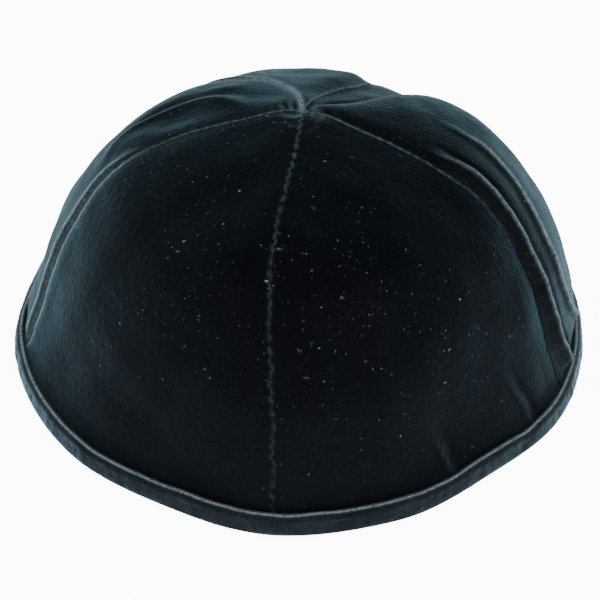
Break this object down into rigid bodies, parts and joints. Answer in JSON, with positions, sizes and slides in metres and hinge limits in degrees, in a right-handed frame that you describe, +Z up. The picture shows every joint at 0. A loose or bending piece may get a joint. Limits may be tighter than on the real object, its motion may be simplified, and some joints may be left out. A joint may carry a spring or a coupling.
{
  "type": "kippah skullcap",
  "caption": "Brimless domed skullcap of dark velvet gores that meet at a drawn-in crown, with a folded velvet binding round the open rim.",
  "frame": {"origin": "middle of the rim, on the surface that the cap rests on", "axes": "+Z up through the crown, -Y towards the front seam, +X to the right as the front is seen, the wearer's left"},
  "size_m": [0.1786, 0.182, 0.0695],
  "materials": {
    "velvet": "near-black velvet with a blue-green sheen where it turns away",
    "binding": "near-black velvet strip folded round the edge, with a blue-green sheen"
  },
  "bodies": {
    "root": {"panel_front_right": "velvet", "panel_right": "velvet", "panel_back_right": "velvet", "panel_back_left": "velvet", "panel_left": "velvet", "panel_front_left": "velvet", "rim_binding": "binding"}
  },
  "joints": []
}
